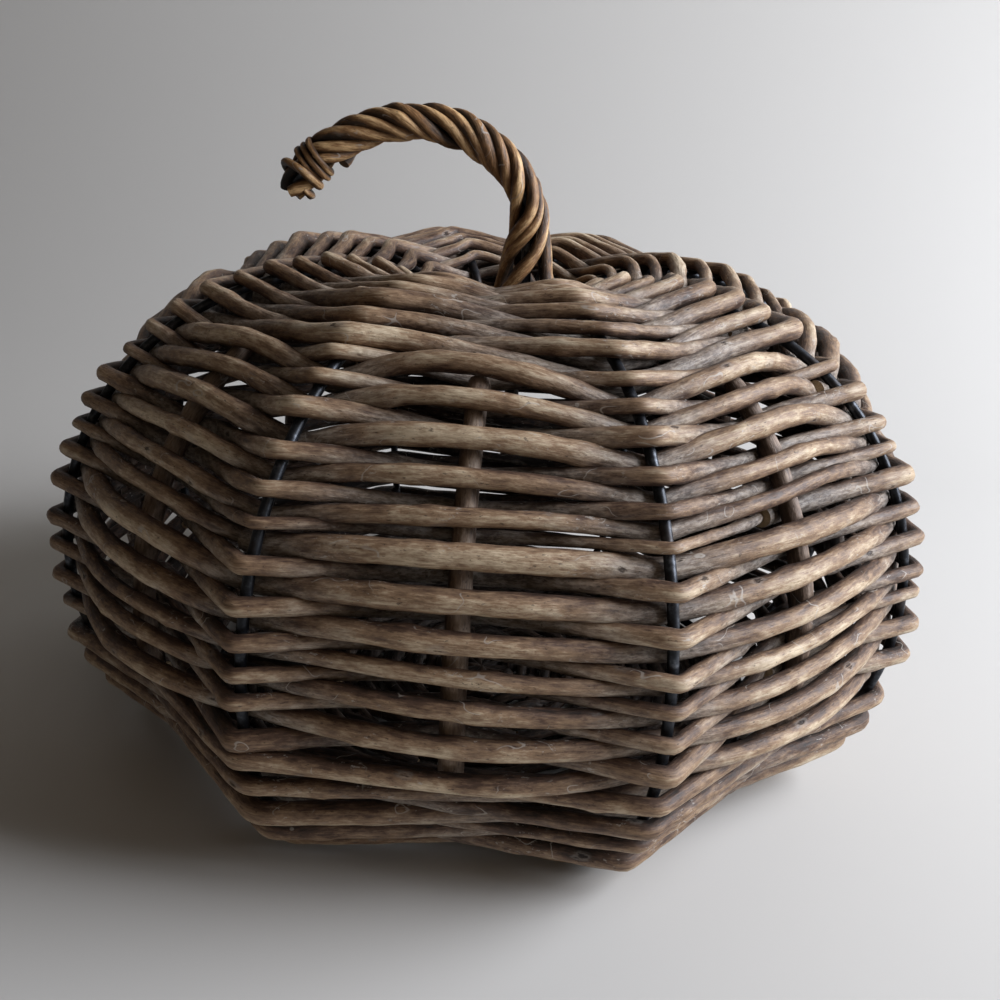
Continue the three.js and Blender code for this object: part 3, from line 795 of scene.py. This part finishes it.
def rod_path(run, rod):
    """Points, outward directions, diameters and exposure along one rod, with both its ends.

    lift = that before + (that after - that before) * (share of the way between them)^bend
    """
    start, end = cuts_of[run][rod], cuts_of[run][rod + 1]
    ring = float(np.interp(even_level((start + end) / 2), outline_at, outline[:, 0]))
    lead, tail = LEAD / (math.pi * ring), TAIL / (math.pi * ring)
    at_row = np.linspace(start - lead, end + tail, PATH_POINTS)
    diameter = rod_diameter(run, rod, at_row)
    length = np.interp(at_row, run_row, level[run])
    met_row, side, stake = crossings(run)
    upright = np.where(stake, stake_diameter(even_level(met_row)), RIB_DIAMETER + 2 * RIB_GAP)
    met = (np.searchsorted(met_row, at_row, side="right") - 1).clip(0, len(met_row) - 2)
    between = ((at_row - met_row[met]) / (met_row[met + 1] - met_row[met])).clip(0, 1)
    swing = np.where(stake[met], between ** BENDS[run],
                     np.where(stake[met + 1], 1 - (1 - between) ** BENDS[run], between))
    before, after = (side[m] * (upright[m] + diameter) / 2 for m in (met, met + 1))
    lift = before + (after - before) * swing
    outside = 0.5 + 0.5 * (lift / np.abs(lift).max())
    left = (end + tail - at_row) * math.pi * ring
    tucked = np.clip(1 - (left - TAIL) / TUCK, 0, 1) ** 2
    tucked = tucked * tucked * (3 - 2 * tucked)
    lift = lift - TUCK_DEPTH * rod_sizes[run][rod, 0] * tucked
    points, outward = shell(length, azimuth_at(run, at_row), lift)
    points, outward, diameter, outside = even_steps(1.0, points, outward, diameter, outside)
    points = soften(points, SOFTNESS[run])
    points[:, 2] = np.maximum(points[:, 2], diameter / 2 + FLOOR_GAP)
    return points[::2], outward[::2], diameter[::2], outside[::2]


print("the first rod is", round(travelled(rod_path(OVER_RIBS, 0)[0])[-1]), "mm long")

# %% Weave the rods
for run, count in enumerate(ROD_COUNTS):
    for rod in range(count):
        number = 2 * rod + run + 1
        points, outward, diameter, outside = rod_path(run, rod)
        # Where a rod goes inside an upright its exposure falls, so its bark there is less worn and
        # painted darker, as shade.
        exposed = HIDDEN + (1 - HIDDEN) * outside
        woven = willow_rod(points, outward, diameter, seed=100 + number, exposed=exposed)
        node = f"weaver_row_{number:02d}"
        make_piece(f"weaver_{number:02d}", [woven], weaver_bark, node)
print("woven", sum(ROD_COUNTS), "rods in", ROWS, "rows")

# %% [markdown]
# ## The woven base
#
# The base is a woven disc: rods go round and round over and under six sticks that cross in the
# middle. Seen from below, and through the gaps of the lower rows, it is a set of rings. A flat disc
# with rings drawn on it would look painted. So each ring here is a rod whose height swings by a
# cosine, up between two sticks and down between the next two, and the other way in the next ring.
# At a stick it has the stick's own height and runs through it, where a real rod would go round.

# %% Woven base
BASE_RADIUS, BASE_RINGS = 121.4, 20
BASE_MIDDLE, RING_SWING = 6.1, 2.6
BASE_ROD, BASE_STICK = 4.8, 3.4
FIRST_RING, NEXT_START, NEARLY_ROUND = 14.0, 2.4, 0.997
SPOKES = 12
DOWN = np.array([0.0, 0.0, -1.0])
parts = []
ring_radius = np.linspace(FIRST_RING, BASE_RADIUS - BASE_ROD / 2, BASE_RINGS)
for number, radius in enumerate(ring_radius):
    azimuth = np.linspace(0, 2 * math.pi * NEARLY_ROUND, 900) + number * NEXT_START
    swing = RING_SWING * np.cos(SPOKES / 2 * azimuth + number * math.pi)
    path = np.stack([radius * np.sin(azimuth), -radius * np.cos(azimuth), BASE_MIDDLE + swing], -1)
    path, = even_steps(2.5, path)
    outward = np.broadcast_to(DOWN, path.shape)
    # exposed=0.6 for the rings and 0.5 for the sticks paint the base darker, as the shade under the
    # pumpkin.
    parts.append(willow_rod(path, outward, BASE_ROD, seed=200 + number, exposed=0.6))
for number in range(SPOKES // 2):
    heading = (number + 0.5) * 2 * math.pi / SPOKES
    reach = np.linspace(-1, 1, 100)[:, None] * BASE_RADIUS
    path = reach * np.array([[math.sin(heading), -math.cos(heading), 0]]) + [0, 0, BASE_MIDDLE]
    outward = np.broadcast_to(DOWN, path.shape)
    parts.append(willow_rod(path, outward, BASE_STICK, seed=260 + number, exposed=0.5))
# The base takes the darker bark: painted shade, as it lies in shade under the pumpkin.
make_piece("base_mat", parts, stake_bark, "woven_base")
print("base rods", len(parts))

# %% [markdown]
# ## The hoop at the base, and the steel that stays
#
# The ribs' feet are welded to a ring of the same rod. A torus could stand for it, but the rod
# function is at hand: the hoop's path simply ends where it began. The ring under the dip and the
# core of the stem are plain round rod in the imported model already, so they only get the steel.

# %% Base hoop
HOOP_RADIUS = 123.7
azimuth = np.linspace(0, 2 * math.pi, 361)
outward = np.stack([np.sin(azimuth), -np.cos(azimuth), 0 * azimuth], -1)
path = HOOP_RADIUS * outward + [0, 0, FOOT_HEIGHT]
hoop = willow_rod(path, outward, RIB_DIAMETER, seed=300, **SMOOTH)
make_piece("hoop", [hoop], steel, "base_hoop")
for name in ("top_ring", "stem_core"):
    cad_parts[name].data.materials.clear()
    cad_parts[name].data.materials.append(steel)
print("the hoop is", round(travelled(path)[-1]), "mm long")

# %% [markdown]
# ## The twisted stem
#
# Six rods are twisted round a steel core and curl over to one side. One twisted bar would be
# quicker, but it wouldn't part at the root. The stem's centreline is a short straight and one cubic
# curve. A strand's path is that line plus a circle that turns as it goes. At the root the circle
# opens, the twist stops and the strands bunch to the left and the right, because the rods splay
# where they go down into the dip. One strand on the underside was cut short and stands off a bit.

# %% Centreline of the stem
STEM_OFFSET, STEM_FOOT, STEM_BEND = 9.2, 181.3, 218.0
STEM_REACH, STEM_TIP_HEIGHT = 92.5, 223.0
STEM_RISE_PULL, STEM_TIP_PULL, STEM_TIP_SLOPE = 34.0, 68.0, math.radians(55)
bend = np.array([STEM_OFFSET, 0, STEM_BEND])
tip_point = np.array([-STEM_REACH, 0, STEM_TIP_HEIGHT])
pull = STEM_TIP_PULL * np.array([math.cos(STEM_TIP_SLOPE), 0, math.sin(STEM_TIP_SLOPE)])
handles = np.array([bend, bend + [0, 0, STEM_RISE_PULL], tip_point + pull, tip_point])
t = np.linspace(0, 1, 400)[:, None]
weights = np.hstack([(1 - t) ** 3, 3 * t * (1 - t) ** 2, 3 * t ** 2 * (1 - t), t ** 3])
straight = np.linspace([STEM_OFFSET, 0, STEM_FOOT], bend, 40)[:-1]
stem_line, = even_steps(1.0, np.concatenate([straight, weights @ handles]))
stem_along = unit(np.gradient(stem_line, axis=0))
stem_across = np.broadcast_to([0.0, 1.0, 0.0], stem_line.shape)
stem_out = np.cross(stem_along, stem_across)
stem_at = travelled(stem_line)
print("the stem is", round(stem_at[-1]), "mm long")

# %% Strands of the stem
STRANDS = 6
STRAND_DIAMETER, STRAND_CIRCLE, STRAND_LAY = 5.1, 5.0, 55.0
ROOT_SPREAD, ROOT_SPREAD_LENGTH, ROOT_STRAIGHT, ROOT_BUNCHING = 8.0, 52.0, 26.0, 0.45
TIP_CLOSING, TIP_CLOSED_BY = 14.0, 1.4
WOBBLE, WOBBLE_LENGTH = 0.25, 17.0
BULGE, BULGE_LENGTH, BULGE_SHIFT = 0.5, 9.0, 2.1
ROOT_THICKNESS, THINNING, WIDTH_SPREAD = 1.05, 0.16, 0.45
SHORT_STRAND, STAND_OFF, STAND_OFF_LENGTH = 27.0, 2.5, 12.0


def beside_stem(at, turn, circle):
    """A path beside the centreline: line + circle * (cos(turn) * out + sin(turn) * across)."""
    line, out, side = (np.stack([np.interp(at, stem_at, c) for c in v.T], -1)
                       for v in (stem_line, stem_out, stem_across))
    spoke = np.cos(turn)[:, None] * out + np.sin(turn)[:, None] * side
    return line + np.asarray(circle)[..., None] * spoke, spoke


def wound(at):
    """How far the twist has gone: sqrt(at^2 + straight^2) - straight, so it starts straight."""
    return np.hypot(at, ROOT_STRAIGHT) - ROOT_STRAIGHT


random = np.random.default_rng(SEED + 5)
underside = round(-STRANDS * wound(stem_at[-1] - SHORT_STRAND) / STRAND_LAY) % STRANDS
for number in range(STRANDS):
    short = SHORT_STRAND if number == underside else random.uniform(0, 5)
    at = np.arange(0, stem_at[-1] - short, 1.5)
    wobble = WOBBLE * np.sin(at / WOBBLE_LENGTH + random.uniform(0, 6))
    strand_turn = -2 * math.pi * (wound(at) / STRAND_LAY + number / STRANDS) + wobble
    rooted = (1 - at / ROOT_SPREAD_LENGTH).clip(0) ** 2
    strand_turn -= ROOT_BUNCHING * rooted ** 0.5 * np.sin(2 * strand_turn)
    closed = (1 - (stem_at[-1] - at) / TIP_CLOSING).clip(0)
    bulge = BULGE * np.sin(at / BULGE_LENGTH + BULGE_SHIFT * number)
    circle = STRAND_CIRCLE + ROOT_SPREAD * rooted + bulge - TIP_CLOSED_BY * closed
    if number == underside:
        circle += STAND_OFF * (1 - (at[-1] - at) / STAND_OFF_LENGTH).clip(0) ** 2
    path, outward = beside_stem(at, strand_turn, circle)
    taper = ROOT_THICKNESS - THINNING * at / at[-1] - THINNING * rooted
    width = STRAND_DIAMETER * taper + random.normal(0, WIDTH_SPREAD)
    rod = willow_rod(path, outward, width, seed=310 + number, bud_gap=40)
    node = f"stem_strand_{number + 1}"
    make_piece(f"strand_{number + 1}", [rod], stem_bark, node)
print("strands", STRANDS, "of which short", underside + 1)

# %% [markdown]
# ## The binding at the tip
#
# Thin split willow is wound round the strands just short of the tip and keeps the twist from
# opening: a few close turns one way, then a thicker strip the other way and slantwise, nearer the
# tip. Two flat rings would look like a ferrule. So each is a rod on a path round the stem whose
# radius and place along the stem waver, and both its ends are pressed in between the strands.

# %% Tip binding
WINDINGS = (
    {"turns": 2.8, "begin": 23.0, "end": 15.0, "diameter": 2.6, "lift": 0.0, "slant": 0.5},
    {"turns": -1.6, "begin": 15.5, "end": 5.5, "diameter": 3.4, "lift": -0.3, "slant": 2.4},
)
PRESSED_IN, TUCKED_IN, TUCKED_SHARE = 0.9, 1.8, 0.08
FIRST_TURN, NEXT_TURN, WAVER, WAVERS_PER_TURN = 1.0, 2.0, 0.35, 1.7
parts = []
for number, winding in enumerate(WINDINGS):
    share = np.linspace(0, 1, 240)
    wound_turn = 2 * math.pi * winding["turns"] * share + FIRST_TURN + NEXT_TURN * number
    before_tip = winding["begin"] + (winding["end"] - winding["begin"]) * share
    at = stem_at[-1] - before_tip + winding["slant"] * np.sin(wound_turn)
    tucked = TUCKED_IN * (1 - (np.minimum(share, 1 - share) / TUCKED_SHARE).clip(0, 1))
    circle = STRAND_CIRCLE + (STRAND_DIAMETER + winding["diameter"]) / 2 - PRESSED_IN
    circle = circle + winding["lift"] - tucked + WAVER * np.sin(WAVERS_PER_TURN * wound_turn)
    path, outward = beside_stem(at, wound_turn, circle)
    path, outward = even_steps(1.0, path, outward)
    parts.append(willow_rod(path, outward, winding["diameter"], seed=330 + number,
                            swell=0.1, bud_gap=SMOOTH["bud_gap"]))
make_piece("tip_binding", parts, stem_bark, "stem_tip_binding")
print("windings", len(parts))

# %% [markdown]
# ## Floor, light and camera
#
# A pale floor that curves up into a pale backdrop keeps the eye on the weave. A plain floor would
# end in a line behind the pumpkin, and a curve has none. One large soft lamp from the right and
# above gives the rods their round shading, as a window does, and a weak lamp from the front and
# weak light from all round fill the rest. The camera stands where the photograph was taken, a
# little above the pumpkin, looking down.

# %% Floor and backdrop
FLOOR_FRONT, FLOOR_BACK, SWEEP_RADIUS, BACKDROP_TOP, HALF_WIDTH = -3.0, 0.35, 0.5, 3.0, 4.0
rise = np.linspace(0, math.pi / 2, 24)
profile = np.concatenate([
    [[FLOOR_FRONT, 0]],
    np.column_stack([FLOOR_BACK + SWEEP_RADIUS * np.sin(rise), SWEEP_RADIUS * (1 - np.cos(rise))]),
    [[FLOOR_BACK + SWEEP_RADIUS, BACKDROP_TOP]],
])
edge = np.repeat([[-HALF_WIDTH], [HALF_WIDTH]], len(profile), axis=0)
sweep_points = np.hstack([edge, np.tile(profile, (2, 1))])
i = np.arange(len(profile) - 1)
sweep_faces = np.column_stack([i, i + len(profile), i + len(profile) + 1, i + 1])
sweep_mesh = bpy.data.meshes.new("floor_and_backdrop")
sweep_mesh.from_pydata(sweep_points.tolist(), [], sweep_faces.tolist())
sweep_mesh.polygons.foreach_set("use_smooth", np.ones(len(sweep_faces), bool))
sweep = bpy.data.objects.new("floor_and_backdrop", sweep_mesh)
bpy.context.scene.collection.objects.link(sweep)
paper, node = new_material("pale_paper")
node(OUTPUT, (node(PRINCIPLED, {"Base Color": linear("#c9c7c2"), "Roughness": 0.9}),))
sweep_mesh.materials.append(paper)
print("floor and backdrop", len(sweep_faces), "faces")

# %% Lamps
AIMED_AT = [0, 0, 0.1]


def soft_lamp(name, place, size, watts, colour):
    """A square lamp turned so that its own z axis points from the pumpkin's belly to it."""
    lamp = bpy.data.lights.new(name, "AREA")
    lamp.size, lamp.energy, lamp.color = size, watts, linear(colour)[:3]
    lamp_object = bpy.data.objects.new(name, lamp)
    bpy.context.scene.collection.objects.link(lamp_object)
    back = unit(np.array(place) - AIMED_AT)
    lamp_object.location = place
    lamp_object.rotation_euler = (math.acos(back[2]), 0, math.atan2(back[0], -back[1]))
    print("lamp", name, watts, "W")


soft_lamp("window", (1.15, -0.1, 0.75), 0.9, 35, "#f1f5ff")
soft_lamp("fill", (0.5, -1.4, 1.1), 1.2, 1.2, "#ffe6cf")
world = bpy.data.worlds.new("surround")
bpy.context.scene.world = world
world.use_nodes = True
world.node_tree.nodes.clear()
glow = {"Color": linear("#f6e4d0"), "Strength": 0.062}
surround = add(world.node_tree, "ShaderNodeBackground", glow)
add(world.node_tree, "ShaderNodeOutputWorld", (surround,))

# %% Camera
CAMERA_PLACE = np.array([25.0, -492.2, 279.5]) * MM
YAW, PITCH, ROLL = math.radians(-2.43), math.radians(-20.67), math.radians(3.41)
FOCAL_PIXELS, PHOTO_PIXELS, SENSOR_WIDTH = 1158.4, 1000, 36.0
forward = np.array([
    math.sin(YAW) * math.cos(PITCH), math.cos(YAW) * math.cos(PITCH), math.sin(PITCH),
])
level_right = np.array([math.cos(YAW), -math.sin(YAW), 0])
level_up = np.cross(level_right, forward)
right = math.cos(ROLL) * level_right + math.sin(ROLL) * level_up
up = -math.sin(ROLL) * level_right + math.cos(ROLL) * level_up
camera = bpy.data.cameras.new("camera")
camera.sensor_width, camera.lens = SENSOR_WIDTH, SENSOR_WIDTH * FOCAL_PIXELS / PHOTO_PIXELS
camera_object = bpy.data.objects.new("camera", camera)
bpy.context.scene.collection.objects.link(camera_object)
turned = np.eye(4)
turned[:3] = np.column_stack([right, up, -forward, CAMERA_PLACE])
camera_object.matrix_world = Matrix(turned.tolist())
bpy.context.scene.camera = camera_object
bpy.context.scene.view_settings.view_transform = "Standard"
print("camera lens in mm", round(camera.lens, 1))
